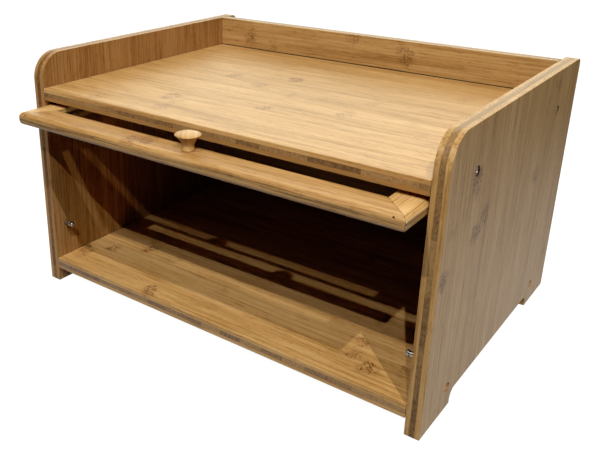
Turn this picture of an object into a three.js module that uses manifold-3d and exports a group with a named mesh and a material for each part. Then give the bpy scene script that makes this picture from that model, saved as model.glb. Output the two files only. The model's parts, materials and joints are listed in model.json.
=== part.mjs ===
// Bamboo bread box with a tray top and one framed door. The door swings up about two pins that ride
// in grooves in the side panels, then slides back under the top panel, where it is modelled at rest.
// Millimetres, +Z up, +X to the right, +Y to the back.

import * as THREE from "three";
import { mergeVertices } from "three/addons/utils/BufferGeometryUtils.js";
import Module from "manifold-3d";

const wasm = await Module();
wasm.setup();

// ---- Overall sizes ----
const overallWidth = 400; // across both side panels
const overallDepth = 294; // of a side panel, front to back
const overallHeight = 230; // of a side panel, from the floor

// ---- Boards and joints ----
const sideThickness = 12;
const shelfThickness = 11.5; // top and bottom panels
const backThickness = 12;
const seam = 0.3; // gap left between pieces that meet
const trayRim = 30.7; // height of the side panels above the top panel
const floorGap = 14; // floor to the underside of the bottom panel
const backInset = 15; // the back panel stands this far in from the side panels' rear edges

// ---- Side panel outline ----
const frontCornerRadius = 24;
const rearCornerRadius = 5;
const footLength = 55;
const footCutHeight = 11;
const footCutRadius = 8;

// ---- Side and back screws ----
const screwHeadRadius = 3.7;
const screwHeadHeight = 2.4;
const screwShankRadius = 2.2;
const screwGrip = 25; // length of shank inside a shelf
const screwDriveWidth = 4.4; // across the arms of the cross recess
const screwDriveSlot = 0.9;
const screwDriveDepth = 1.3;
const upperScrewFrontInset = 50; // from the side panel's front edge
const upperScrewRearInset = 54; // and from its rear edge
const lowerScrewInset = 46; // from either edge
const upperHeadSink = 0.8; // head below the board's face
const lowerHeadSink = 4.5;
const backScrewSpread = 240; // between the two screws of a row

// ---- Dowels ----
const dowelRadius = 3;
const dowelInSide = 8; // length inside the side panel
const dowelInShelf = 22; // length inside the shelf or back panel
const dowelChamfer = 0.6;
const lowerBackDowelHeight = 60;
const upperBackDowelDrop = 24; // below the top of the back panel

// ---- Door stop pegs ----
const pegRadius = 2.5;
const pegReach = 10; // how far a peg stands out of the side panel
const pegEmbed = 8;
const pegHeight = 33.5; // above the bottom panel
const pegNeckRadius = 1.9;
const pegNeckWidth = 1.2;
const pegTipLength = 2.4; // collar beyond the neck
const pegChamfer = 0.5;

// ---- Door ----
const doorThickness = 11.5;
const doorMember = 24; // width of a rail or stile
const doorSideGap = 1; // door edge to side panel, each side
const doorTopGap = 3.8; // door to the underside of the top panel
const doorBottomGap = 1.5; // closed door to the bottom panel
const doorFaceSetback = 0.25; // closed door's face behind the side panels' front edges
const outerTopRadius = 5; // rounding of the frame's outer edge, knob side
const outerBottomRadius = 4; // and inner side
const mitreGap = 0.2; // shortening of each member at a mitre
const pivotInset = 6; // pin axis to the door's rear edge
const pivotRadius = 2.5;
const pivotEmbed = 16; // pin length inside the door
const grooveDepth = 7;
const pinEndGap = 0.5; // pin end to the bottom of the groove
const paneThickness = 3;
const paneLap = 4.5; // pane edge inside the frame
const slideInSpare = 6; // how much further in than at rest the door can go
const knobToPanel = 6.4; // knob to the top panel's front edge at rest
const bradRadius = 0.6;
const bradLength = 18;
const bradSink = 1.6; // below the rail's outer edge
const bradFromSide = 9;
const bradDrop = 2.5; // below the door's knob face

// ---- Knob ----
const knobHeight = 14.8;
const knobRimRadius = 10.5;
const knobRimHeight = 12.4;
const knobBaseRadius = 5.5;
const knobBaseEase = 0.4; // chamfer under the foot
const knobFootHeight = 1; // straight foot above the chamfer's start
const knobNeckRadius = 5;
const knobNeckHeight = 3;
const knobRimEdge = 0.8; // height of the rim's edge
const knobRimEase = 0.3; // how far the edge leans in
const knobInset = 14.5; // knob axis to the door's front edge
const knobScrewRadius = 1.6;
const knobScrewGrip = 9; // length inside the knob
const knobScrewHeadRadius = 3.6;
const knobScrewHeadHeight = 2.1;
const knobScrewHeadDome = 1.1; // part of the head's height that curves in

const clearance = 0.3; // around whatever sits in a hole, groove or slot
const overcut = 1; // how far a cutter starts outside the face it cuts
const roundSides = 16; // facets of a hidden hole, pin or screw
const smoothSides = 24; // of a hole whose mouth shows
const knobSides = 28;
const arcSteps = 8; // segments of a rounding or of the knob's curve

// ---- Places worked out from the sizes ----
const innerHalf = overallWidth / 2 - sideThickness;
const bottomTop = floorGap + shelfThickness;
const topTop = overallHeight - trayRim;
const topUnderside = topTop - shelfThickness;
const backFront = overallDepth - backInset - backThickness;
const shelfDepth = backFront - seam;
const shelfHalf = innerHalf - seam;
const doorHalf = innerHalf - doorSideGap;
const doorTop = topUnderside - doorTopGap;
const doorBottom = doorTop - doorThickness;
const pivotZ = doorTop - doorThickness / 2;
const doorReach = pivotZ - bottomTop - doorBottomGap; // pin axis to the door's front edge
const doorOverhang = knobInset + knobRimRadius + knobToPanel; // in front of the box at rest
const doorFront = -doorOverhang;
const pivotY = doorFront + doorReach;
const doorRear = pivotY + pivotInset;
const closedPivotY = doorFaceSetback + doorThickness / 2;
const pegY = closedPivotY + doorThickness / 2 + clearance + pegRadius;
const knobY = doorFront + knobInset;
const restCentreY = (doorFront + overallDepth) / 2; // the origin is under the middle of the box at rest
const sideMark = { left: -1, right: 1 };

// ---- Materials ----
const finish = (color, roughness, metalness = 0) =>
  new THREE.MeshStandardMaterial({ color, roughness, metalness });
const bamboo = finish(0xd9b179, 0.55);
const paleBamboo = finish(0xe2c38f, 0.5);
const steel = finish(0xb9bcc0, 0.3, 1);
const acrylic = finish(0xdfe8ea, 0.08);
acrylic.transparent = true;
acrylic.opacity = 0.3;

// ---- Solids ----
const X = new THREE.Vector3(1, 0, 0);
const Y = new THREE.Vector3(0, 1, 0);
const Z = new THREE.Vector3(0, 0, 1);
const forward = new THREE.Vector3(0, -1, 0);
const sideward = (mark) => new THREE.Vector3(mark, 0, 0);

// A closed geometry as a solid that can be cut and joined.
function solid(geometry) {
  const bare = geometry.clone();
  bare.deleteAttribute("normal");
  bare.deleteAttribute("uv");
  const merged = mergeVertices(bare, 1e-4);
  return new wasm.Manifold(
    new wasm.Mesh({
      numProp: 3,
      vertProperties: merged.attributes.position.array,
      triVerts: new Uint32Array(merged.index.array),
    }),
  );
}

// A cut or joined solid as a geometry again.
function geometryOf(shape) {
  const mesh = shape.getMesh();
  const geometry = new THREE.BufferGeometry();
  geometry.setAttribute("position", new THREE.BufferAttribute(new Float32Array(mesh.vertProperties), 3));
  geometry.setIndex(new THREE.BufferAttribute(new Uint32Array(mesh.triVerts), 1));
  const flat = geometry.toNonIndexed();
  flat.computeVertexNormals();
  return flat;
}

function cut(shape, ...tools) {
  return tools.reduce((left, tool) => left.subtract(tool), shape);
}

// A box between two corners.
function block(low, high) {
  const [x, y, z] = high.map((value, i) => value - low[i]);
  const middle = high.map((value, i) => (value + low[i]) / 2);
  return solid(new THREE.BoxGeometry(x, y, z).translate(...middle));
}

// A solid of revolution about +Y. The profile is [radius, distance along the axis] pairs.
function turned(profile, sides = roundSides) {
  const points = profile.map(([radius, distance]) => new THREE.Vector2(radius, distance));
  return new THREE.LatheGeometry(points, sides);
}

function barProfile(radius, length) {
  return [[0, 0], [radius, 0], [radius, length], [0, length]];
}

// The cutter for a round hole, from start along axis.
function drill(radius, start, axis, length, sides = roundSides) {
  const turn = new THREE.Quaternion().setFromUnitVectors(Y, axis);
  const bar = turned(barProfile(radius, length), sides);
  return solid(bar.applyQuaternion(turn).translate(...start));
}

const group = new THREE.Group();
group.position.y = -restCentreY;

// A named piece. One that was made about +Y at the origin is placed by a start and an axis.
function add(name, geometry, material, start = [0, 0, 0], axis = Y) {
  const mesh = new THREE.Mesh(geometry, material);
  mesh.name = name;
  mesh.position.set(...start);
  mesh.quaternion.setFromUnitVectors(Y, axis);
  group.add(mesh);
}

// ---- Screws ----

// Where each side screw goes: its height, its distance from the front, and how deep its head lies.
const upperScrewZ = topTop - shelfThickness / 2;
const lowerScrewZ = floorGap + shelfThickness / 2;
const shelfLevels = { upper: upperScrewZ, lower: lowerScrewZ };
const sideScrews = [
  { place: "upper_front", y: upperScrewFrontInset, z: upperScrewZ, sink: upperHeadSink },
  { place: "upper_rear", y: overallDepth - upperScrewRearInset, z: upperScrewZ, sink: upperHeadSink },
  { place: "lower_front", y: lowerScrewInset, z: lowerScrewZ, sink: lowerHeadSink },
  { place: "lower_rear", y: overallDepth - lowerScrewInset, z: lowerScrewZ, sink: lowerHeadSink },
];

// Every fastened screw is a point on a board's outer face, the way in, the sink of its head and the
// thickness of the board it goes through.
function sideScrew(mark, { y, z, sink }) {
  return { face: [(mark * overallWidth) / 2, y, z], inward: sideward(-mark), sink, board: sideThickness };
}

function backScrew(mark, z) {
  const face = [(mark * backScrewSpread) / 2, backFront + backThickness, z];
  return { face, inward: forward, sink: upperHeadSink, board: backThickness };
}

function alongFrom(start, axis, distance) {
  return start.map((value, i) => value + axis.getComponent(i) * distance);
}

// A countersunk screw about +Y with a cross recess, its head's face at the origin.
function screwBody({ sink, board }) {
  const tip = board - sink + screwGrip;
  const body = turned([
    [0, 0],
    [screwHeadRadius, 0],
    [screwHeadRadius, screwHeadHeight],
    [screwShankRadius, screwHeadHeight],
    [screwShankRadius, tip - screwShankRadius],
    [0, tip],
  ]);
  const arm = screwDriveWidth / 2;
  const slot = screwDriveSlot / 2;
  const recess = block([-arm, -overcut, -slot], [arm, screwDriveDepth, slot]);
  const cross = recess.add(block([-slot, -overcut, -arm], [slot, screwDriveDepth, arm]));
  return geometryOf(solid(body).subtract(cross));
}

function addScrew(name, place) {
  add(name, screwBody(place), steel, alongFrom(place.face, place.inward, place.sink), place.inward);
}

// The hole that such a screw lies in: a counterbore, then a clearance hole into the shelf.
function screwHole({ face, inward, sink, board }) {
  const start = alongFrom(face, inward, -overcut);
  const headDepth = overcut + sink + screwHeadHeight + clearance;
  const wholeDepth = overcut + board + screwGrip + clearance;
  const head = drill(screwHeadRadius + clearance, start, inward, headDepth, smoothSides);
  return head.add(drill(screwShankRadius + clearance, start, inward, wholeDepth));
}

// ---- Dowels ----

// Every dowel crosses from a side panel's inner face into the end of a shelf or of the back panel.
const shelfDowelY = shelfDepth / 2;
const backDowelY = backFront + backThickness / 2;
const dowels = [
  { name: "shelf_dowel_upper", y: shelfDowelY, z: upperScrewZ },
  { name: "shelf_dowel_lower", y: shelfDowelY, z: lowerScrewZ },
  { name: "back_dowel_upper", y: backDowelY, z: overallHeight - upperBackDowelDrop },
  { name: "back_dowel_lower", y: backDowelY, z: lowerBackDowelHeight },
];
const dowelLength = dowelInSide + dowelInShelf;

function addDowel(name, mark, { y, z }) {
  const body = turned([
    [0, 0],
    [dowelRadius - dowelChamfer, 0],
    [dowelRadius, dowelChamfer],
    [dowelRadius, dowelLength - dowelChamfer],
    [dowelRadius - dowelChamfer, dowelLength],
    [0, dowelLength],
  ]);
  add(name, body, bamboo, [mark * (innerHalf + dowelInSide), y, z], sideward(-mark));
}

function dowelHole(mark, { y, z }) {
  const start = [mark * (innerHalf + dowelInSide + clearance), y, z];
  return drill(dowelRadius + clearance, start, sideward(-mark), dowelLength + 2 * clearance);
}

// ---- Side panels ----

// The panel's outline, front to back and floor to top, with its two feet.
function sideOutline() {
  const rearFoot = overallDepth - footLength;
  const shape = new THREE.Shape();
  shape.moveTo(0, 0);
  shape.lineTo(footLength, 0);
  const filletZ = footCutHeight - footCutRadius;
  shape.absarc(footLength + footCutRadius, filletZ, footCutRadius, Math.PI, Math.PI / 2, true);
  shape.absarc(rearFoot - footCutRadius, filletZ, footCutRadius, Math.PI / 2, 0, true);
  shape.lineTo(rearFoot, 0);
  shape.lineTo(overallDepth, 0);
  shape.absarc(
    overallDepth - rearCornerRadius, overallHeight - rearCornerRadius, rearCornerRadius, 0, Math.PI / 2,
  );
  shape.absarc(frontCornerRadius, overallHeight - frontCornerRadius, frontCornerRadius, Math.PI / 2, Math.PI);
  shape.closePath();
  return shape;
}

// The stopped groove in which the door's pins ride, from the closed door to the door pushed right in.
function grooveCutter(mark) {
  const radius = pivotRadius + clearance;
  const front = closedPivotY;
  const rear = pivotY + slideInSpare;
  const shape = new THREE.Shape();
  shape.absarc(front, pivotZ, radius, Math.PI / 2, (3 * Math.PI) / 2);
  shape.absarc(rear, pivotZ, radius, -Math.PI / 2, Math.PI / 2);
  shape.closePath();
  const low = mark > 0 ? innerHalf - overcut : -innerHalf - grooveDepth;
  return plate(shape, low, grooveDepth + overcut);
}

// An outline drawn in Y and Z, made into a board that starts at x and is thick along X.
function plate(shape, x, thickness) {
  const geometry = new THREE.ExtrudeGeometry(shape, {
    depth: thickness,
    bevelEnabled: false,
    curveSegments: arcSteps,
  });
  geometry.applyMatrix4(new THREE.Matrix4().makeBasis(Y, Z, X));
  return solid(geometry.translate(x, 0, 0));
}

function pegHole(mark) {
  const start = [mark * (innerHalf - overcut), pegY, bottomTop + pegHeight];
  const depth = overcut + pegEmbed + clearance;
  return drill(pegRadius + clearance, start, sideward(mark), depth, smoothSides);
}

function sidePanel(mark) {
  const low = mark > 0 ? innerHalf : -innerHalf - sideThickness;
  return cut(
    plate(sideOutline(), low, sideThickness),
    grooveCutter(mark),
    pegHole(mark),
    ...sideScrews.map((place) => screwHole(sideScrew(mark, place))),
    ...dowels.map((place) => dowelHole(mark, place)),
  );
}

// ---- Shelves and back ----

function shelf(level, underside) {
  const z = shelfLevels[level];
  const tools = [];
  for (const mark of Object.values(sideMark)) {
    tools.push(...sideScrews.filter((one) => one.z === z).map((one) => screwHole(sideScrew(mark, one))));
    tools.push(...dowels.filter((one) => one.z === z).map((one) => dowelHole(mark, one)));
    tools.push(screwHole(backScrew(mark, z)));
  }
  const board = block([-shelfHalf, 0, underside], [shelfHalf, shelfDepth, underside + shelfThickness]);
  return cut(board, ...tools);
}

function backPanel() {
  const board = block(
    [-shelfHalf, backFront, floorGap],
    [shelfHalf, backFront + backThickness, overallHeight],
  );
  const tools = [];
  for (const mark of Object.values(sideMark)) {
    tools.push(...Object.values(shelfLevels).map((z) => screwHole(backScrew(mark, z))));
    tools.push(...dowels.filter((one) => one.y === backDowelY).map((one) => dowelHole(mark, one)));
  }
  return cut(board, ...tools);
}

// ---- Door stop pegs and pivot pins ----

// A steel peg with a neck turned into it just behind its tip.
function addStopPeg(name, mark) {
  const length = pegEmbed + pegReach;
  const neckEnd = length - pegTipLength;
  const neckStart = neckEnd - pegNeckWidth;
  const body = turned([
    [0, 0],
    [pegRadius - pegChamfer, 0],
    [pegRadius, pegChamfer],
    [pegRadius, neckStart],
    [pegNeckRadius, neckStart],
    [pegNeckRadius, neckEnd],
    [pegRadius, neckEnd],
    [pegRadius, length - pegChamfer],
    [pegRadius - pegChamfer, length],
    [0, length],
  ]);
  add(name, body, steel, [mark * (innerHalf + pegEmbed), pegY, bottomTop + pegHeight], sideward(-mark));
}

function addPivotPin(name, mark) {
  const reach = grooveDepth - pinEndGap;
  const body = turned(barProfile(pivotRadius, reach + doorSideGap + pivotEmbed));
  add(name, body, steel, [mark * (innerHalf + reach), pivotY, pivotZ], sideward(-mark));
}

function pivotBore(mark) {
  const start = [mark * (doorHalf + overcut), pivotY, pivotZ];
  return drill(pivotRadius + clearance, start, sideward(-mark), overcut + pivotEmbed + clearance);
}

// ---- Door frame ----

// A rail's section: across from its outer edge, and up from its underside. The outer edge is rounded.
function memberSection() {
  const shape = new THREE.Shape();
  shape.moveTo(doorMember, 0);
  shape.lineTo(doorMember, doorThickness);
  shape.absarc(outerTopRadius, doorThickness - outerTopRadius, outerTopRadius, Math.PI / 2, Math.PI);
  shape.absarc(outerBottomRadius, outerBottomRadius, outerBottomRadius, Math.PI, (3 * Math.PI) / 2);
  shape.closePath();
  return shape;
}

// A rail or stile with both ends mitred. It runs from the frame's corner, and inward points across it
// towards the window.
function mitredMember(corner, inward, length) {
  const geometry = new THREE.ExtrudeGeometry(memberSection(), {
    depth: length,
    bevelEnabled: false,
    curveSegments: arcSteps,
  });
  const position = geometry.attributes.position;
  for (let i = 0; i < position.count; i += 1) {
    const mitre = position.getX(i) + mitreGap;
    position.setZ(i, position.getZ(i) > length / 2 ? length - mitre : mitre);
  }
  const along = new THREE.Vector3().crossVectors(inward, Z);
  geometry.applyMatrix4(new THREE.Matrix4().makeBasis(inward, Z, along));
  return solid(geometry.translate(...corner));
}

const windowHalf = doorHalf - doorMember;
const windowFront = doorFront + doorMember;
const windowRear = doorRear - doorMember;

function pane(grow) {
  const edge = paneLap + grow;
  return block(
    [-windowHalf - edge, windowFront - edge, pivotZ - paneThickness / 2 - grow],
    [windowHalf + edge, windowRear + edge, pivotZ + paneThickness / 2 + grow],
  );
}

// A brad is driven through the front rail's rounded edge into the stile behind it.
const bradStart = (mark) => [mark * (doorHalf - bradFromSide), doorFront + bradSink, doorTop - bradDrop];

function addBrad(name, mark) {
  add(name, turned(barProfile(bradRadius, bradLength)), steel, bradStart(mark));
}

function bradHole(mark) {
  const lead = overcut + bradSink;
  const start = alongFrom(bradStart(mark), Y, -lead);
  return drill(bradRadius + clearance, start, Y, lead + bradLength + clearance);
}

// ---- Knob ----

// The neck flares out in one curve to the thin rim, and the top is a shallow dome.
function knobProfile() {
  const flare = new THREE.CubicBezierCurve(
    new THREE.Vector2(knobNeckRadius, knobNeckHeight),
    new THREE.Vector2(knobNeckRadius, knobNeckHeight + knobNeckRadius),
    new THREE.Vector2((knobNeckRadius + knobRimRadius) / 2, knobRimHeight - knobNeckHeight),
    new THREE.Vector2(knobRimRadius, knobRimHeight),
  );
  const dome = new THREE.QuadraticBezierCurve(
    new THREE.Vector2(knobRimRadius - knobRimEase, knobRimHeight + knobRimEdge),
    new THREE.Vector2(knobRimRadius / 2, knobHeight),
    new THREE.Vector2(0, knobHeight),
  );
  const curve = [...flare.getPoints(arcSteps), ...dome.getPoints(arcSteps)];
  return [
    [0, 0],
    [knobBaseRadius - knobBaseEase, 0],
    [knobBaseRadius, knobBaseEase],
    [knobBaseRadius, knobFootHeight],
    ...curve.map((point) => [point.x, point.y]),
  ];
}

const knobBase = doorTop + clearance;
const knobScrewFace = doorBottom - clearance;

function knobBody() {
  const depth = overcut + knobScrewGrip + clearance;
  const hole = drill(knobScrewRadius + clearance, [0, -overcut, 0], Y, depth);
  return geometryOf(solid(turned(knobProfile(), knobSides)).subtract(hole));
}

// A round-headed screw that comes up through the rail into the knob.
function knobScrewBody() {
  const length = knobScrewHeadHeight + clearance + doorThickness + clearance + knobScrewGrip;
  return turned([
    [0, 0],
    [knobScrewHeadRadius - knobScrewHeadDome, 0],
    [knobScrewHeadRadius, knobScrewHeadDome],
    [knobScrewHeadRadius, knobScrewHeadHeight],
    [knobScrewRadius, knobScrewHeadHeight],
    [knobScrewRadius, length - knobScrewRadius],
    [0, length],
  ]);
}

function knobScrewHole() {
  const start = [0, knobY, doorBottom - overcut];
  return drill(knobScrewRadius + clearance, start, Z, doorThickness + 2 * overcut);
}

// ---- The assembly ----

add("top_panel", geometryOf(shelf("upper", topUnderside)), paleBamboo);
add("bottom_panel", geometryOf(shelf("lower", floorGap)), paleBamboo);
add("back_panel", geometryOf(backPanel()), bamboo);

for (const [side, mark] of Object.entries(sideMark)) {
  add(`side_panel_${side}`, geometryOf(sidePanel(mark)), bamboo);
  for (const place of sideScrews) {
    addScrew(`side_screw_${side}_${place.place}`, sideScrew(mark, place));
  }
  for (const [level, z] of Object.entries(shelfLevels)) {
    addScrew(`back_screw_${level}_${side}`, backScrew(mark, z));
  }
  for (const place of dowels) {
    addDowel(`${place.name}_${side}`, mark, place);
  }
  addStopPeg(`door_stop_peg_${side}`, mark);
  addPivotPin(`door_pivot_pin_${side}`, mark);
  addBrad(`door_corner_brad_${side}`, mark);
}

const doorLength = doorRear - doorFront;
const members = {
  door_front_rail: mitredMember([-doorHalf, doorFront, doorBottom], Y, 2 * doorHalf),
  door_stile_right: mitredMember([doorHalf, doorFront, doorBottom], sideward(-1), doorLength),
  door_rear_rail: mitredMember([doorHalf, doorRear, doorBottom], forward, 2 * doorHalf),
  door_stile_left: mitredMember([-doorHalf, doorRear, doorBottom], X, doorLength),
};
const doorCuts = [
  pane(clearance),
  knobScrewHole(),
  ...Object.values(sideMark).map(pivotBore),
  ...Object.values(sideMark).map(bradHole),
];
for (const [name, shape] of Object.entries(members)) {
  add(name, geometryOf(cut(shape, ...doorCuts)), paleBamboo);
}
add("door_window_pane", geometryOf(pane(0)), acrylic);
add("knob", knobBody(), paleBamboo, [0, knobY, knobBase], Z);
add("knob_screw", knobScrewBody(), steel, [0, knobY, knobScrewFace - knobScrewHeadHeight], Z);

export default group;
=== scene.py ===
"""Looks of the bamboo bread box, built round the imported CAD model. Metres, +Z up, front towards -Y."""

import json
import math

import bmesh
import bpy
from mathutils import Matrix, Vector


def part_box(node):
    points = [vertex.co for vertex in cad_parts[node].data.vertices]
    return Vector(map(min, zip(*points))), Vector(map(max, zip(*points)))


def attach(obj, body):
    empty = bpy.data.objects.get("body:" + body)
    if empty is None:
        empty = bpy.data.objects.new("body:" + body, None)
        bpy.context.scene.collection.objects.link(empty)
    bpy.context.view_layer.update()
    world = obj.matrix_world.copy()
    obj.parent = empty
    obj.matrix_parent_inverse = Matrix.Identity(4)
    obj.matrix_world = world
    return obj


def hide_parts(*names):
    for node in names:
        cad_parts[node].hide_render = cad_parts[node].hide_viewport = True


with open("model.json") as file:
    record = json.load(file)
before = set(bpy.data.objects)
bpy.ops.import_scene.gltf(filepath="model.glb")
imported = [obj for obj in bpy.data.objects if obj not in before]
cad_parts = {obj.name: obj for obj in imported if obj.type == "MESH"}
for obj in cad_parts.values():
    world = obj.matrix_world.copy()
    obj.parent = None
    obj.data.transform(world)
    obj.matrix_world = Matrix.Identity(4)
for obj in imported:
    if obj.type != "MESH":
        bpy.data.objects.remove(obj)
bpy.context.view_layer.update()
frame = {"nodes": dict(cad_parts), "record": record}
nodes = frame["nodes"]
bodies = frame["record"]["behaviour"]["bodies"]
body_of_node = {name: body for body, members in bodies.items() for name in members}

MM = 0.001
X_AXIS, Y_AXIS, Z_AXIS = range(3)

# Boards are three layers of bamboo; the outer layers are strips laid side by side along the grain, and the
# middle layer lies across them, so that its strips show as blocks on a board's edge.
STRIP_WIDTH = 20 * MM
BLOCK_WIDTH = 21 * MM
MIDDLE_LAYER = 4 * MM
KNUCKLE_SPACING = 330 * MM
KNUCKLE_LENGTH = 9.5 * MM
KNUCKLE_WIDTH = 11 * MM

# How often each kind of figure in the wood repeats in a metre, along the grain and across it.
FIBRES = (10, 620)
STREAKS = (8, 260)
CLOUDS = (9, 60)
DARK_LINES = (9, 480)
DASHES = (45, 560)
FLECKS = (170, 520)


# ---------------------------------------------------------------------------------------------------------
# Node trees, written one call a node


class Tree:
    """Adds shader nodes; each call returns the new node's output, and takes outputs or plain numbers."""

    def __init__(self, tree):
        self.tree = tree

    def new(self, kind, inputs, **settings):
        node = self.tree.nodes.new(kind)
        for key, value in settings.items():
            setattr(node, key, value)
        for key, value in inputs.items():
            self.put(node.inputs[key], value)
        return node

    def put(self, socket, value):
        if isinstance(value, bpy.types.NodeSocket):
            self.tree.links.new(value, socket)
        elif value is not None:
            socket.default_value = value

    def math(self, operation, *values):
        return self.new("ShaderNodeMath", dict(enumerate(values)), operation=operation).outputs[0]

    def add(self, *values):
        total = values[0]
        for value in values[1:]:
            total = self.math("ADD", total, value)
        return total

    def times(self, a, b):
        return self.math("MULTIPLY", a, b)

    def less(self, a, b):
        return self.math("SUBTRACT", a, b)

    def distance(self, a, b):
        """The length of the vector (a, b)."""
        return self.math("SQRT", self.add(self.times(a, a), self.times(b, b)))

    def off_middle(self, fraction):
        """0 in the middle of a repeat, 0.5 at its two sides."""
        return self.math("ABSOLUTE", self.less(fraction, 0.5))

    def vector(self, x, y, z):
        return self.new("ShaderNodeCombineXYZ", {"X": x, "Y": y, "Z": z}).outputs[0]

    def parts(self, vector):
        return self.new("ShaderNodeSeparateXYZ", {0: vector}).outputs[:3]

    def place(self):
        """The point in the object's own frame, as x, y and z."""
        return self.parts(self.new("ShaderNodeTexCoord", {}).outputs["Object"])

    def chance(self, x, y, z):
        """Three random numbers, 0 to 1, which change only where x, y or z does."""
        noise = self.new("ShaderNodeTexWhiteNoise", {"Vector": self.vector(x, y, z)})
        return self.parts(noise.outputs["Color"])

    def noise(self, x, y, z, detail=2.0, roughness=0.5, distortion=0.0):
        inputs = {
            "Vector": self.vector(x, y, z),
            "Scale": 1.0,
            "Detail": detail,
            "Roughness": roughness,
            "Distortion": distortion,
        }
        return self.new("ShaderNodeTexNoise", inputs).outputs[0]

    def grain(self, point, scales, detail, roughness=0.5, distortion=0.0):
        """Noise drawn out along the grain; the point's first number runs along it."""
        along, across = scales
        run, v, w = point
        stretched = (self.times(run, along), self.times(v, across), self.times(w, across))
        return self.noise(*stretched, detail=detail, roughness=roughness, distortion=distortion)

    def remap(self, value, low, high, new_low=0.0, new_high=1.0, smooth=False):
        inputs = {0: value, 1: low, 2: high, 3: new_low, 4: new_high}
        kind = "SMOOTHSTEP" if smooth else "LINEAR"
        return self.new("ShaderNodeMapRange", inputs, interpolation_type=kind).outputs[0]

    def ramp(self, value, *stops):
        """Colours at evenly spaced places from 0 to 1."""
        node = self.new("ShaderNodeValToRGB", {0: value})
        elements = node.color_ramp.elements
        while len(elements) < len(stops):
            elements.new(0.5)
        for i, colour in enumerate(stops):
            elements[i].position = i / (len(stops) - 1)
            elements[i].color = (*colour, 1)
        return node.outputs[0]

    def blend(self, amount, a, b):
        node = self.new("ShaderNodeMix", {}, data_type="RGBA")
        for index, value in ((0, amount), (6, a), (7, b)):
            self.put(node.inputs[index], (*value, 1) if isinstance(value, tuple) else value)
        return node.outputs[2]

    def seen_directly(self):
        """1 for what the camera sees, plainly or through the pane; 0 for reflected or scattered light."""
        path = self.new("ShaderNodeLightPath", {}).outputs
        return self.math("MAXIMUM", path["Is Camera Ray"], path["Is Transmission Ray"])

    def bump(self, height, strength, distance):
        inputs = {"Height": height, "Strength": strength, "Distance": distance}
        return self.new("ShaderNodeBump", inputs).outputs[0]


def new_material(name):
    material = bpy.data.materials.new(name)
    material.use_nodes = True
    surface = material.node_tree.nodes["Principled BSDF"]
    return material, Tree(material.node_tree), surface


# ---------------------------------------------------------------------------------------------------------
# Materials


STRAW = (0.70, 0.46, 0.200)
HONEY = (0.56, 0.33, 0.118)
AMBER = (0.37, 0.195, 0.056)
KNUCKLE = (0.20, 0.080, 0.020)
BLOCK_PALE = (0.42, 0.255, 0.104)
BLOCK_DARK = (0.14, 0.074, 0.028)
# Painted shade, for the gaps between boards and the walls of the screw bores.
PAINTED_GAP_SHADE = (0.012, 0.009, 0.006)


def shaded(colour, shade):
    """A colour times a plain number, or times a tint."""
    tint = shade if isinstance(shade, tuple) else (shade, shade, shade)
    return tuple(c * s for c, s in zip(colour, tint))


def marks_at(t, u, v, places, wobble):
    """1 at any of the places, fading out round it; each is (along, across, strength), lengths in mm."""
    nearest = 0.0
    for along, across, strength in places:
        away_u = t.times(t.less(u, along * MM), 1 / KNUCKLE_LENGTH)
        away_v = t.times(t.less(v, across * MM), 1 / KNUCKLE_WIDTH)
        away = t.add(t.distance(away_u, away_v), wobble)
        mark = t.remap(away, 0.35, 1.1, strength * 1.25, 0, smooth=True)
        nearest = t.math("MAXIMUM", mark, nearest)
    return nearest


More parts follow.
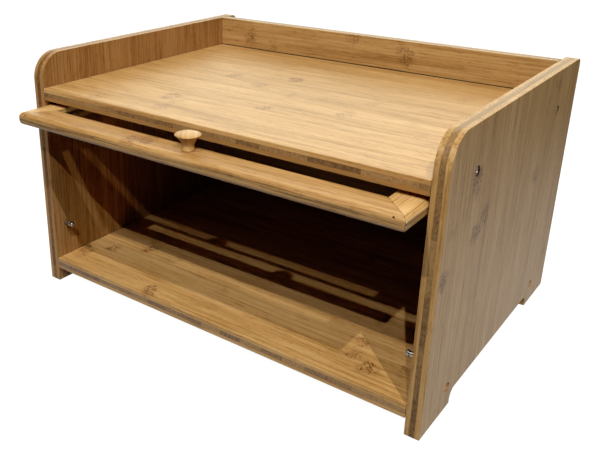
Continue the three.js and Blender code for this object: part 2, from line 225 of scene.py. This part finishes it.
class Wood:
    """A bamboo board's wood as shader values: u runs along the grain, v across the strips side by side, and
    w through the layers. front and back are 1 on one side of the board's middle each."""

    def __init__(self, t, axes, middle, seed, front_side):
        self.t = t
        self.seed = seed
        place = t.place()
        self.u, self.v, self.w = [place[axis] for axis in axes]
        self.depth = t.less(self.w, middle)
        self.face = t.math("SIGN", self.depth)
        strip_place = t.add(t.times(self.v, 1 / STRIP_WIDTH), t.times(self.face, 0.37), seed * 0.61)
        self.strip = t.math("FLOOR", strip_place)
        self.in_strip = t.math("FRACT", strip_place)
        self.tone, slide, self.start = t.chance(self.strip, self.face, seed)
        self.run = t.add(self.u, t.times(slide, 3.0))
        self.draw_grain((self.run, self.v, self.w))
        self.back = t.math("LESS_THAN", t.times(self.face, front_side), 0)
        self.front = t.less(1, self.back)

    def draw_grain(self, point):
        """Fibre, streak and cloud lie about 0.5; line, dash and fleck run from 0 to 1."""
        t = self.t
        self.fibre = t.grain(point, FIBRES, detail=3, roughness=0.7)
        self.streak = t.grain(point, STREAKS, detail=3, roughness=0.6)
        self.cloud = t.grain(point, CLOUDS, detail=2, distortion=0.4)
        self.line = t.remap(t.grain(point, DARK_LINES, detail=2, roughness=0.6), 0.53, 0.63)
        self.dash = t.remap(t.grain(point, DASHES, detail=1), 0.58, 0.70)
        self.fleck = t.remap(t.grain(point, FLECKS, detail=1), 0.56, 0.70)

    def paleness(self, contrast, painted_back_shade):
        t = self.t
        return t.add(
            0.54 + 0.14 * contrast,
            t.times(t.less(self.tone, 0.5), 0.24),
            t.times(t.less(self.fibre, 0.5), 2.3 * contrast),
            t.times(t.less(self.streak, 0.5), 0.9 * contrast),
            t.times(t.less(self.cloud, 0.5), 0.9),
            t.times(self.line, -0.38 * contrast),
            t.times(self.dash, -0.30),
            t.times(self.fleck, -0.22),
            # Painted shade: the board's back side is made darker, which keeps the inside of the box dark.
            t.times(self.back, -painted_back_shade),
        )

    def knuckles(self, places):
        """Where knuckles are, 0 to 1: one in each stretch of a strip, and the strong ones at places."""
        t = self.t
        cell_place = t.add(t.times(self.run, 1 / KNUCKLE_SPACING), t.times(self.start, 5))
        cell = t.math("FLOOR", cell_place)
        in_cell = t.math("FRACT", cell_place)
        spot, strength, size = t.chance(self.strip, cell, t.add(self.face, self.seed * 3.0 + 11))
        wander = t.noise(t.times(self.u, 60), t.times(self.v, 130), t.times(self.w, 30), detail=2)
        reach = t.times(t.less(in_cell, t.remap(spot, 0, 1, 0.2, 0.8)), KNUCKLE_SPACING)
        reach = t.add(reach, t.times(t.less(wander, 0.5), 16 * MM))
        half_length = t.remap(size, 0, 1, 6 * MM, 12 * MM)
        away = t.math("DIVIDE", t.math("ABSOLUTE", reach), half_length)
        nearness = t.remap(away, 0, 1, 1, 0, smooth=True)
        side_fade = t.remap(t.off_middle(self.in_strip), 0.32, 0.5, 1, 0.15, smooth=True)
        knuckle = t.times(t.times(nearness, side_fade), t.remap(strength, 0.2, 1.0, 0.1, 0.6))
        if not places:
            return knuckle
        wobble = t.times(t.less(wander, 0.5), 1.8)
        marks = t.times(marks_at(t, self.u, self.v, places, wobble), self.front)
        return t.math("MAXIMUM", knuckle, marks)

    def curls(self):
        """The curled lines inside a knuckle."""
        t = self.t
        u, v, w = t.times(self.u, 130), t.times(self.v, 150), t.times(self.w, 90)
        curl = t.noise(u, v, w, detail=1, distortion=1.8)
        return t.remap(t.math("SINE", t.times(curl, 24)), -0.1, 0.7)

    def edge_blocks(self, shade):
        """The middle layer's strips, which lie across the board."""
        t = self.t
        block_place = t.add(t.times(self.u, 1 / BLOCK_WIDTH), self.seed * 0.43)
        tone, slide, _ = t.chance(t.math("FLOOR", block_place), self.seed, 5)
        run = t.add(self.v, slide)
        u, v, w = t.times(self.u, 520), t.times(run, 14), t.times(self.w, 520)
        fibre = t.noise(u, v, w, detail=3, roughness=0.65)
        level = t.add(t.times(tone, 0.8), t.times(t.less(fibre, 0.44), 1.9), t.times(self.fleck, -0.2))
        colour = t.ramp(level, shaded(BLOCK_DARK, shade), shaded(BLOCK_PALE, shade))
        seam = t.remap(t.off_middle(t.math("FRACT", block_place)), 0.485, 0.5, 0, 0.4)
        return t.blend(seam, colour, KNUCKLE)

    def with_middle_layer(self, colour, inner):
        """The outer layers' colour, with the inner one in the middle layer and glue lines between."""
        t = self.t
        past_layer = t.less(t.math("ABSOLUTE", self.depth), MIDDLE_LAYER / 2)
        colour = t.blend(t.remap(past_layer, -0.08 * MM, 0.08 * MM, 1, 0), colour, inner)
        glue = t.remap(t.math("ABSOLUTE", past_layer), 0.06 * MM, 0.2 * MM, 0.45, 0)
        return t.blend(glue, colour, KNUCKLE)

    def with_painted_gap_shade(self, colour, joints, bores):
        t = self.t
        # Painted shade: a dark line along each joint with another board, and dark walls round each bore.
        for joint in joints:
            beside = t.math("ABSOLUTE", t.less(self.v, joint))
            joint_shade = t.times(t.remap(beside, 0.5 * MM, 1.1 * MM, 0.9, 0), self.front)
            colour = t.blend(joint_shade, colour, PAINTED_GAP_SHADE)
        for u, v, radius in bores:
            away = t.distance(t.less(self.u, u), t.less(self.v, v))
            bore_shade = t.remap(away, radius + 0.1 * MM, radius + 0.6 * MM, 0.94, 0)
            colour = t.blend(bore_shade, colour, PAINTED_GAP_SHADE)
        return colour


def bamboo(name, axes, middle, seed, shade=1.0, blocks=True, gloss=0.5, contrast=1.0,
           face_marks=(1, ()), painted_back_shade=0.0, joints=(), bores=()):
    """Lacquered bamboo board. axes run along the grain, across the strips and through the layers.
    Without blocks the middle layer's grain runs the same way as the outer layers'. face_marks is the side of
    the board, 1 or -1, and the places of the strongest knuckles on it; painted_back_shade darkens its other
    side with painted shade, which keeps the inside of the box dark.
    joints are places across the board where it meets another, shown as a line of painted shade, and bores are
    holes, (along, across, radius), whose walls get painted shade."""
    material, t, surface = new_material(name)
    front_side, places = face_marks
    wood = Wood(t, axes, middle, seed, front_side)
    paleness = wood.paleness(contrast, painted_back_shade)
    knuckle = wood.knuckles(places)
    curl = wood.curls()
    seam = t.remap(t.off_middle(wood.in_strip), 0.488, 0.5, 0, 0.22)
    if blocks:
        inner = wood.edge_blocks(shade)
    else:
        dark, mild, pale = shaded(BLOCK_DARK, 1.2), shaded(HONEY, 0.8), shaded(STRAW, 0.8)
        inner = t.ramp(t.less(paleness, 0.08), dark, mild, pale)

    colour = t.ramp(paleness, shaded(AMBER, shade), shaded(HONEY, shade), shaded(STRAW, shade))
    colour = t.blend(t.times(knuckle, t.add(0.15, t.times(curl, 0.72))), colour, shaded(KNUCKLE, shade))
    colour = t.blend(seam, colour, KNUCKLE)
    colour = wood.with_middle_layer(colour, inner)
    colour = wood.with_painted_gap_shade(colour, joints, bores)
    t.put(surface.inputs["Base Color"], colour)
    t.put(surface.inputs["Roughness"], t.remap(wood.fibre, 0.3, 0.7, 0.46, 0.36))
    height = t.add(wood.fibre, t.times(wood.dash, -0.6), t.times(t.times(knuckle, curl), -0.8))
    t.put(surface.inputs["Normal"], t.bump(height, 0.3, 0.15 * MM))
    surface.inputs["Specular IOR Level"].default_value = gloss
    return material


def turned_bamboo(name):
    """A knob turned from a block glued up of thin upright strips."""
    strip_thickness = 1.9 * MM
    material, t, surface = new_material(name)
    x, y, z = t.place()
    across = t.add(t.times(x, 0.8), t.times(y, 0.6))
    layer_place = t.times(across, 1 / strip_thickness)
    tone, slide, _ = t.chance(t.math("FLOOR", layer_place), 3, 1)
    fibre = t.noise(t.times(x, 500), t.times(y, 500), t.times(t.add(z, slide), 60), detail=3, roughness=0.6)
    level = t.add(0.56, t.times(t.less(tone, 0.5), 0.7), t.times(t.less(fibre, 0.5), 0.7))
    colour = t.ramp(level, AMBER, HONEY, STRAW)
    seam = t.remap(t.off_middle(t.math("FRACT", layer_place)), 0.4, 0.5, 0, 0.35)
    t.put(surface.inputs["Base Color"], t.blend(seam, colour, AMBER))
    t.put(surface.inputs["Roughness"], t.remap(fibre, 0.3, 0.7, 0.42, 0.32))
    t.put(surface.inputs["Normal"], t.bump(fibre, 0.2, 0.1 * MM))
    return material


def dowel_wood(name):
    material, t, surface = new_material(name)
    x, y, z = t.place()
    fibre = t.noise(t.times(x, 300), t.times(y, 500), t.times(z, 500), detail=3, roughness=0.6)
    t.put(surface.inputs["Base Color"], t.ramp(fibre, (0.42, 0.27, 0.13), (0.66, 0.48, 0.28)))
    t.put(surface.inputs["Roughness"], t.remap(fibre, 0.3, 0.7, 0.7, 0.55))
    t.put(surface.inputs["Normal"], t.bump(fibre, 0.3, 0.1 * MM))
    return material


def steel(name, dark, pale):
    """Plated or darkened steel with faint turning marks."""
    material, t, surface = new_material(name)
    x, y, z = t.place()
    cloud = t.noise(t.times(x, 420), t.times(y, 420), t.times(z, 420), detail=2)
    marks = t.noise(t.times(x, 2600), t.times(y, 2600), t.times(z, 2600), detail=2)
    t.put(surface.inputs["Base Color"], t.ramp(cloud, dark, pale))
    t.put(surface.inputs["Roughness"], t.remap(cloud, 0.3, 0.7, 0.28, 0.42))
    t.put(surface.inputs["Normal"], t.bump(marks, 0.06, 0.03 * MM))
    surface.inputs["Metallic"].default_value = 1.0
    return material


def acrylic(name):
    """Clear sheet: see-through without bending the view, glossy coat, very faint waviness."""
    material, t, surface = new_material(name)
    x, y, z = t.place()
    wave = t.noise(t.times(x, 9), t.times(y, 9), t.times(z, 9), detail=1)
    t.put(surface.inputs["Base Color"], t.ramp(wave, (0.90, 0.94, 0.93), (0.95, 0.97, 0.96)))
    t.put(surface.inputs["Roughness"], t.remap(wave, 0.3, 0.7, 0.015, 0.03))
    t.put(surface.inputs["Normal"], t.bump(wave, 0.1, 0.2 * MM))
    surface.inputs["Transmission Weight"].default_value = 1.0
    surface.inputs["Alpha"].default_value = 0.3
    surface.inputs["IOR"].default_value = 1.01
    surface.inputs["Coat Weight"].default_value = 1.0
    surface.inputs["Coat Roughness"].default_value = 0.02
    surface.inputs["Coat IOR"].default_value = 1.49
    return material


# ---------------------------------------------------------------------------------------------------------
# Meshes


def piece(name, mesh, body, slot, material, *stands_for):
    obj = bpy.data.objects.new(name, mesh)
    bpy.context.scene.collection.objects.link(obj)
    mesh.materials.clear()
    mesh.materials.append(material)
    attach(obj, body)
    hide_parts(*stands_for)
    return obj


def smooth(mesh, degrees):
    mesh.polygons.foreach_set("use_smooth", [True] * len(mesh.polygons))
    mesh.set_sharp_from_angle(angle=math.radians(degrees))


def outline_edges(bm):
    """The sharp edges of a board, without the rims of its holes."""
    sharp_angle = math.radians(40)
    shortest_outline = 100 * MM
    groups = []
    waiting = {e for e in bm.edges if len(e.link_faces) == 2 and e.calc_face_angle(0) > sharp_angle}
    while waiting:
        group = [waiting.pop()]
        for edge in group:
            for vert in edge.verts:
                for other in vert.link_edges:
                    if other in waiting:
                        waiting.discard(other)
                        group.append(other)
        groups.append(group)
    outlines = [group for group in groups if sum(e.calc_length() for e in group) > shortest_outline]
    return [e for group in outlines for e in group]


def round_corner(bm, corner, inward, radius):
    """Rounds an upright corner: slices it finely, then draws its square rings into circles."""
    centre = [corner[axis] + inward[axis] * radius for axis in (X_AXIS, Y_AXIS)]
    slices = 4
    for axis in (X_AXIS, Y_AXIS):
        normal = Vector((1, 0, 0)) if axis == X_AXIS else Vector((0, 1, 0))
        for i in range(slices):
            point = normal * (centre[axis] - inward[axis] * radius * i / slices)
            everything = bm.verts[:] + bm.edges[:] + bm.faces[:]
            bmesh.ops.bisect_plane(bm, geom=everything, dist=0.001 * MM, plane_co=point, plane_no=normal)
    for vert in bm.verts:
        a = (centre[0] - vert.co.x) * inward[0]
        b = (centre[1] - vert.co.y) * inward[1]
        if a > 0 and b > 0:
            scale = max(a, b) / math.hypot(a, b)
            vert.co.x = centre[0] - inward[0] * a * scale
            vert.co.y = centre[1] - inward[1] * b * scale


def eased_copy(node, ease, corners=()):
    """The node's shape in clean faces, with its sharp outer edges rounded over."""
    bm = bmesh.new()
    bm.from_mesh(nodes[node].data)
    bmesh.ops.remove_doubles(bm, verts=bm.verts, dist=0.002 * MM)
    bmesh.ops.dissolve_limit(bm, angle_limit=math.radians(0.4), verts=bm.verts, edges=bm.edges)
    bmesh.ops.bevel(
        bm,
        geom=outline_edges(bm),
        offset=ease,
        segments=3,
        profile=0.5,
        affect="EDGES",
        clamp_overlap=True,
    )
    for corner, inward, radius in corners:
        round_corner(bm, corner, inward, radius)
    mesh = bpy.data.meshes.new(node + "_eased")
    bm.to_mesh(mesh)
    bm.free()
    smooth(mesh, 35)
    return mesh


def board(name, node, material, ease, corners=()):
    mesh = eased_copy(node, ease, corners)
    obj = piece(name, mesh, body_of_node[node], slot_of(node), material, node)
    flat_first = obj.modifiers.new("flat_faces_first", "WEIGHTED_NORMAL")
    flat_first.keep_sharp = True
    flat_first.weight = 100


def slot_of(node):
    for material in frame["record"]["materials"]:
        if node in material.get("nodes", []):
            return material["slot"]
    return nodes[node].data.materials[0].name


def lathe(name, profile, sides):
    """A closed turned shape about +Z from (radius, height) points that start and end on the axis."""
    bm = bmesh.new()
    rings = []
    for radius, height in profile:
        if radius == 0:
            rings.append([bm.verts.new((0, 0, height))])
            continue
        angles = [2 * math.pi * i / sides for i in range(sides)]
        rings.append([bm.verts.new((radius * math.cos(a), radius * math.sin(a), height)) for a in angles])
    for low, high in zip(rings, rings[1:]):
        for i in range(sides):
            j = (i + 1) % sides
            corners = [low[i % len(low)], low[j % len(low)], high[j % len(high)], high[i % len(high)]]
            unique = list(dict.fromkeys(corners))
            if len(unique) > 2:
                bm.faces.new(unique)
    bmesh.ops.recalc_face_normals(bm, faces=bm.faces)
    mesh = bpy.data.meshes.new(name)
    bm.to_mesh(mesh)
    bm.free()
    return mesh


def curve_points(controls, steps):
    """Points on a Bezier curve of any degree, both ends included."""
    points = []
    for step in range(steps + 1):
        at = step / steps
        row = [Vector(c) for c in controls]
        while len(row) > 1:
            row = [a.lerp(b, at) for a, b in zip(row, row[1:])]
        points.append(tuple(row[0]))
    return points


def turned_knob():
    low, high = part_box("knob")
    rim = (high.x - low.x) / 2
    height = high.z - low.z
    foot = 5.5 * MM
    neck = 5 * MM
    rim_height = 12.4 * MM
    ease = 0.5 * MM
    profile = [(0, 0), (foot - ease, 0)]
    for controls, steps in (
        ([(foot - ease, 0), (foot, 0), (foot, ease)], 4),
        ([(foot, ease), (5.2 * MM, 1.5 * MM), (neck, 3 * MM)], 4),
        ([(neck, 3 * MM), (neck, 8 * MM), (7.75 * MM, 9.4 * MM), (rim, rim_height)], 14),
        ([(rim, rim_height), (10.2 * MM, 13.2 * MM), (5.25 * MM, height), (0, height)], 14),
    ):
        profile += curve_points(controls, steps)[1:]
    profile[-1] = (0, height)
    mesh = lathe("knob_turned", profile, 72)
    mesh.transform(Matrix.Translation((0, (low.y + high.y) / 2, low.z)))
    smooth(mesh, 60)
    piece("turned_knob", mesh, body_of_node["knob"], slot_of("knob"), turned_bamboo("knob_bamboo"), "knob")


def cross_cutter(length, width, depth):
    """A cross-shaped block, narrower at its floor, standing with its open end a little above z = 0."""
    bm = bmesh.new()
    top, floor = 0.3 * MM, -depth
    layers = []
    for height, scale in ((top, 1.0), (floor, 0.7)):
        a, b = length / 2 * scale, width / 2 * scale
        outline = []
        for quarter in range(4):
            turn = Matrix.Rotation(quarter * math.pi / 2, 2)
            outline += [turn @ Vector((a, -b)), turn @ Vector((a, b)), turn @ Vector((b, b))]
        layers.append([bm.verts.new((p.x, p.y, height)) for p in outline])
    upper, lower = layers
    bm.faces.new(upper)
    bm.faces.new(lower)
    for i in range(len(upper)):
        j = (i + 1) % len(upper)
        bm.faces.new((upper[i], upper[j], lower[j], lower[i]))
    bmesh.ops.recalc_face_normals(bm, faces=bm.faces)
    mesh = bpy.data.meshes.new("cross_cutter")
    bm.to_mesh(mesh)
    bm.free()
    return mesh


def screw_mesh(head_radius, head_bottom, shank_radius, length):
    """A screw pointing down from just under z = 0, with a crowned head and a cross recess."""
    top = -0.02 * MM
    rim = top - 0.2 * MM
    profile = [(0, top)]
    for controls, steps in (
        ([(0, top), (head_radius * 0.6, top), (head_radius, rim)], 8),
        ([(head_radius, rim), (head_radius, head_bottom), (shank_radius, head_bottom)], 6),
    ):
        profile += curve_points(controls, steps)[1:]
    profile += [(shank_radius, -length + 3 * MM), (0.4 * MM, -length), (0, -length)]
    body = bpy.data.objects.new("screw_body", lathe("screw_body", profile[::-1], 40))
    recess = cross_cutter(length=4.8 * MM, width=1.3 * MM, depth=1.6 * MM)
    cutter = bpy.data.objects.new("screw_cutter", recess)
    cutter.location.z = top
    for obj in (body, cutter):
        bpy.context.scene.collection.objects.link(obj)
    cut = body.modifiers.new("recess", "BOOLEAN")
    cut.operation = "DIFFERENCE"
    cut.solver = "EXACT"
    cut.object = cutter
    bpy.context.view_layer.update()
    mesh = bpy.data.meshes.new_from_object(body.evaluated_get(bpy.context.evaluated_depsgraph_get()))
    for obj in (body, cutter):
        bpy.data.objects.remove(obj)
    smooth(mesh, 38)
    return mesh


def fit_screws(material):
    names = sorted(n for n in nodes if "screw" in n and n != "knob_screw")
    low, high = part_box("side_screw_right_upper_front")
    bore_radius = (high.z - low.z) / 2
    mesh = screw_mesh(bore_radius - 0.15 * MM, -2.4 * MM, 2.2 * MM, high.x - low.x)
    for name in names:
        low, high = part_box(name)
        middle = (low + high) / 2
        if name.startswith("back"):
            head = Vector((middle.x, high.y, middle.z))
            outward = Vector((0, 1, 0))
        elif "right" in name:
            head = Vector((high.x, middle.y, middle.z))
            outward = Vector((1, 0, 0))
        else:
            head = Vector((low.x, middle.y, middle.z))
            outward = Vector((-1, 0, 0))
        turned = mesh.copy()
        aim = outward.to_track_quat("Z", "Y").to_matrix().to_4x4()
        own_turn = Matrix.Rotation(0.35 + 0.7 * names.index(name), 4, "Z")
        turned.transform(Matrix.Translation(head) @ aim @ own_turn)
        piece("crosshead_" + name, turned, body_of_node[name], slot_of(name), material, name)


def fit_pegs(material):
    for side, inward in (("left", 1), ("right", -1)):
        node = "door_stop_peg_" + side
        low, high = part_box(node)
        length = high.x - low.x
        radius = (high.z - low.z) / 2
        neck = 1.9 * MM
        neck_start = length - 3.6 * MM
        neck_end = length - 2.4 * MM
        ease = 0.35 * MM
        profile = [(0, 0), (radius, 0), (radius, neck_start - ease)]
        profile += [(radius - ease, neck_start), (neck, neck_start + 0.1 * MM), (neck, neck_end)]
        profile += [(radius - ease, neck_end + 0.1 * MM), (radius, neck_end + ease)]
        profile += curve_points([(radius, length - 0.9 * MM), (radius, length), (0, length)], 8)
        mesh = lathe("peg", profile, 36)
        aim = Vector((inward, 0, 0)).to_track_quat("Z", "Y").to_matrix().to_4x4()
        start = Vector((low.x if inward > 0 else high.x, (low.y + high.y) / 2, (low.z + high.z) / 2))
        mesh.transform(Matrix.Translation(start) @ aim)
        smooth(mesh, 30)
        piece("turned_" + node, mesh, body_of_node[node], slot_of(node), material, node)


# ---------------------------------------------------------------------------------------------------------
# The box


def middle_of(node, axis):
    low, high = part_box(node)
    return (low[axis] + high[axis]) / 2


board_ease = 0.7 * MM
door_ease = 0.35 * MM
pane_ease = 0.3 * MM
door_corner_radius = 2 * MM

# The strongest knuckles, as (along the grain, across it, strength), in mm.
TOP_MARKS = (
    (-130, -120, 0.35),
    (-78, -79, 0.9),
    (-62, -108, 0.6),
    (-81, 20, 0.55),
    (-39, 2, 0.6),
    (-23, 40, 0.95),
    (8, -59, 0.7),
    (-61, 64, 0.3),
    (72, -36, 0.65),
)
BOTTOM_MARKS = (
    (-177, -104, 0.8),
    (-160, -83, 0.9),
    (-128, -60, 1.0),
    (-137, -44, 0.6),
    (-69, -122, 1.0),
    (124, -79, 0.9),
    (144, -108, 1.0),
    (128, -98, 0.7),
)
RIGHT_MARKS = (
    (188, -79, 1.1),
    (178, -80, 0.8),
    (151, -53, 1.1),
    (142, -68, 1.3),
    (146, 71, 0.8),
    (218, 101, 0.6),
    (126, -122, 1.2),
)
BACK_MARKS = ((-146, 212, 1.0), (45, 213, 0.8), (40, 222, 0.6), (-15, 227, 0.5))
RAIL_MARKS = ((-42, -150, 1.0), (-54, -155, 0.8))

back_panel_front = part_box("back_panel")[0].y
top_panel_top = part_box("top_panel")[1].z


def bores_of(side):
    """The holes round the upper screws of a side panel."""
    boxes = [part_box(n) for n in nodes if n.startswith("side_screw_" + side + "_upper")]
    return [((low.z + high.z) / 2, (low.y + high.y) / 2, (high.z - low.z) / 2) for low, high in boxes]


# Each board's grain, strips and layers: the axes that they run along, across and through.
UPRIGHT = (Z_AXIS, Y_AXIS, X_AXIS)
LEVEL = (X_AXIS, Y_AXIS, Z_AXIS)
BACK = (X_AXIS, Z_AXIS, Y_AXIS)
STILE = (Y_AXIS, X_AXIS, Z_AXIS)

box_boards = {
    "side_panel_left": dict(
        axes=UPRIGHT, seed=3, shade=(0.76, 0.68, 0.64), gloss=0.2, contrast=0.9, bores=bores_of("left"),
    ),
    "side_panel_right": dict(
        axes=UPRIGHT, seed=8, shade=0.86, gloss=0.25, contrast=0.9, bores=bores_of("right"),
        face_marks=(1, RIGHT_MARKS),
    ),
    "top_panel": dict(
        axes=LEVEL, seed=1, shade=(0.98, 0.98, 1.0), gloss=0.5, contrast=0.6, joints=(back_panel_front,),
        # The top panel's underside gets painted shade, darker than its top.
        face_marks=(1, TOP_MARKS), painted_back_shade=0.6,
    ),
    "bottom_panel": dict(
        axes=LEVEL, seed=5, shade=1.0, gloss=0.5, contrast=0.8, face_marks=(1, BOTTOM_MARKS),
    ),
    "back_panel": dict(
        axes=BACK, seed=6, shade=(0.76, 0.74, 0.72), gloss=0.4, contrast=0.8, joints=(top_panel_top,),
        face_marks=(-1, BACK_MARKS),
    ),
}
for node, look in box_boards.items():
    through = look["axes"][2]
    wood = bamboo("bamboo_" + node, middle=middle_of(node, through), **look)
    board("eased_" + node, node, wood, board_ease)

door_middle = middle_of("door_front_rail", Z_AXIS)
rail_wood = bamboo("bamboo_door_rails", LEVEL, door_middle, seed=2, shade=(0.92, 0.88, 0.86), blocks=False,
                   face_marks=(1, RAIL_MARKS))
# The stiles are tinted paler than the rails: a painted sheen on them.
stile_wood = bamboo("bamboo_door_stiles", STILE, door_middle, seed=4, shade=(1.2, 1.25, 1.35), blocks=False)
door_low, door_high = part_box("door_front_rail")
door_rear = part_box("door_rear_rail")[1].y
door_corners = [
    ((x, y), (inward_x, inward_y), door_corner_radius)
    for x, inward_x in ((door_low.x, 1), (door_high.x, -1))
    for y, inward_y in ((door_low.y, 1), (door_rear, -1))
]
for node, wood in (
    ("door_front_rail", rail_wood),
    ("door_rear_rail", rail_wood),
    ("door_stile_left", stile_wood),
    ("door_stile_right", stile_wood),
):
    board("eased_" + node, node, wood, door_ease, door_corners)
board("eased_door_window_pane", "door_window_pane", acrylic("clear_pane"), pane_ease)

turned_knob()
bright_steel = steel("plated_steel", (0.24, 0.235, 0.225), (0.46, 0.45, 0.43))
dark_steel = steel("darkened_steel", (0.10, 0.07, 0.05), (0.18, 0.13, 0.09))
fit_screws(steel("screw_steel", (0.30, 0.295, 0.285), (0.62, 0.61, 0.59)))
fit_pegs(bright_steel)

plain_dowel = dowel_wood("plain_dowel")
shown_again = {n: plain_dowel for n in nodes if "dowel" in n}
shown_again.update({n: bright_steel for n in nodes if "pivot_pin" in n or n == "knob_screw"})
shown_again.update({n: dark_steel for n in nodes if "brad" in n})
for node, material in shown_again.items():
    nodes[node].data.materials.clear()
    nodes[node].data.materials.append(material)


# ---------------------------------------------------------------------------------------------------------
# Floor, light and camera


def studio_floor():
    """White to the camera everywhere; in reflections it is a pool of light round the box."""
    bm = bmesh.new()
    bmesh.ops.create_grid(bm, x_segments=8, y_segments=8, size=30)
    mesh = bpy.data.meshes.new("studio_floor")
    bm.to_mesh(mesh)
    bm.free()
    floor = bpy.data.objects.new("studio_floor", mesh)
    floor.location.z = -0.2 * MM
    bpy.context.scene.collection.objects.link(floor)
    material, t, surface = new_material("pale_floor")
    surface.inputs["Base Color"].default_value = (0.16, 0.16, 0.16, 1)
    surface.inputs["Roughness"].default_value = 0.85
    surface.inputs["Specular IOR Level"].default_value = 0.1
    surface.inputs["Emission Color"].default_value = (1, 1, 1, 1)
    x, y, z = t.place()
    straight = t.seen_directly()
    pool = t.remap(t.distance(x, y), 0.25, 0.9, 0.85, 0.0)
    t.put(surface.inputs["Emission Strength"], t.math("MAXIMUM", pool, t.times(straight, 0.985)))
    mesh.materials.append(material)
    floor.visible_diffuse = False


def area_light(name, offset, size, power, colour):
    """A round light at an offset from the middle of the box, aimed at it."""
    light = bpy.data.lights.new(name, "AREA")
    light.shape = "DISK"
    light.size = size
    light.energy = power
    light.color = colour
    obj = bpy.data.objects.new(name, light)
    middle = Vector((0, 0, 0.1))
    obj.location = middle + Vector(offset)
    obj.rotation_euler = Vector(offset).to_track_quat("Z", "Y").to_euler()
    obj.visible_camera = False
    obj.visible_transmission = False
    bpy.context.scene.collection.objects.link(obj)


def room_light():
    """A warm soft light low behind the box, seen in its lacquer; elsewhere the room is dark."""
    world = bpy.data.worlds.new("room")
    bpy.context.scene.world = world
    world.use_nodes = True
    t = Tree(world.node_tree)
    background = world.node_tree.nodes["Background"]
    x, y, z = t.parts(t.new("ShaderNodeTexCoord", {}).outputs["Generated"])
    towards_back = t.add(t.times(x, -0.46), t.times(y, 0.77), t.times(z, 0.44))
    level = t.remap(towards_back, 0.66, 0.97, smooth=True)
    colour = t.ramp(level, (0.003, 0.003, 0.003), (1.0, 0.96, 0.78))
    straight = t.seen_directly()
    t.put(background.inputs["Color"], t.blend(straight, colour, (1.0, 1.0, 1.0)))
    t.put(background.inputs["Strength"], t.remap(straight, 0, 1, 2.3, 1.0))


def camera():
    data = bpy.data.cameras.new("camera")
    data.lens = 45.03
    data.sensor_width = 36
    data.shift_x = 0.1234
    data.shift_y = -0.0772
    data.clip_end = 200
    obj = bpy.data.objects.new("camera", data)
    azimuth, elevation, roll = math.radians(37.467), math.radians(21.513), math.radians(0.237)
    turn = Matrix.Rotation(azimuth, 3, "Z") @ Matrix.Rotation(math.pi / 2 - elevation, 3, "X")
    obj.location = (0.35396, -0.56229, 0.37219)
    obj.rotation_euler = (turn @ Matrix.Rotation(roll, 3, "Z")).to_euler()
    bpy.context.scene.collection.objects.link(obj)
    bpy.context.scene.camera = obj


def photographic_contrast():
    """Plain colours with the deep shadows of a photograph: the lowest light levels are pressed down."""
    settings = bpy.context.scene.view_settings
    settings.view_transform = "Standard"
    settings.use_curve_mapping = True
    settings.curve_mapping.use_clip = False
    red, green, blue, _ = settings.curve_mapping.curves
    for curve, toe in (
        (red, ((0.012, 0.0025), (0.025, 0.010), (0.045, 0.034), (0.07, 0.067))),
        (green, ((0.006, 0.0012), (0.012, 0.005), (0.025, 0.017), (0.04, 0.037))),
        (blue, ((0.006, 0.0025), (0.012, 0.009), (0.02, 0.019))),
    ):
        for level, shown in toe:
            curve.points.new(level, shown)
        for point in curve.points:
            point.handle_type = "VECTOR"
    settings.curve_mapping.update()


WARM = (1.0, 0.94, 0.83)
WHITE = (1.0, 1.0, 1.0)

studio_floor()
room_light()
for name, offset, size, power, colour in (
    ("spot_right", (1.06, -1.94, 2.26), 0.035, 26, WARM),
    ("spot_front", (-0.12, -1.66, 2.2), 0.035, 30, WARM),
    ("spot_far_right", (1.22, -1.07, 2.26), 0.035, 30, WARM),
    ("softbox_right", (1.3, 0.1, -0.02), 0.3, 2.1, WHITE),
):
    area_light(name, offset, size, power, colour)
camera()
photographic_contrast()
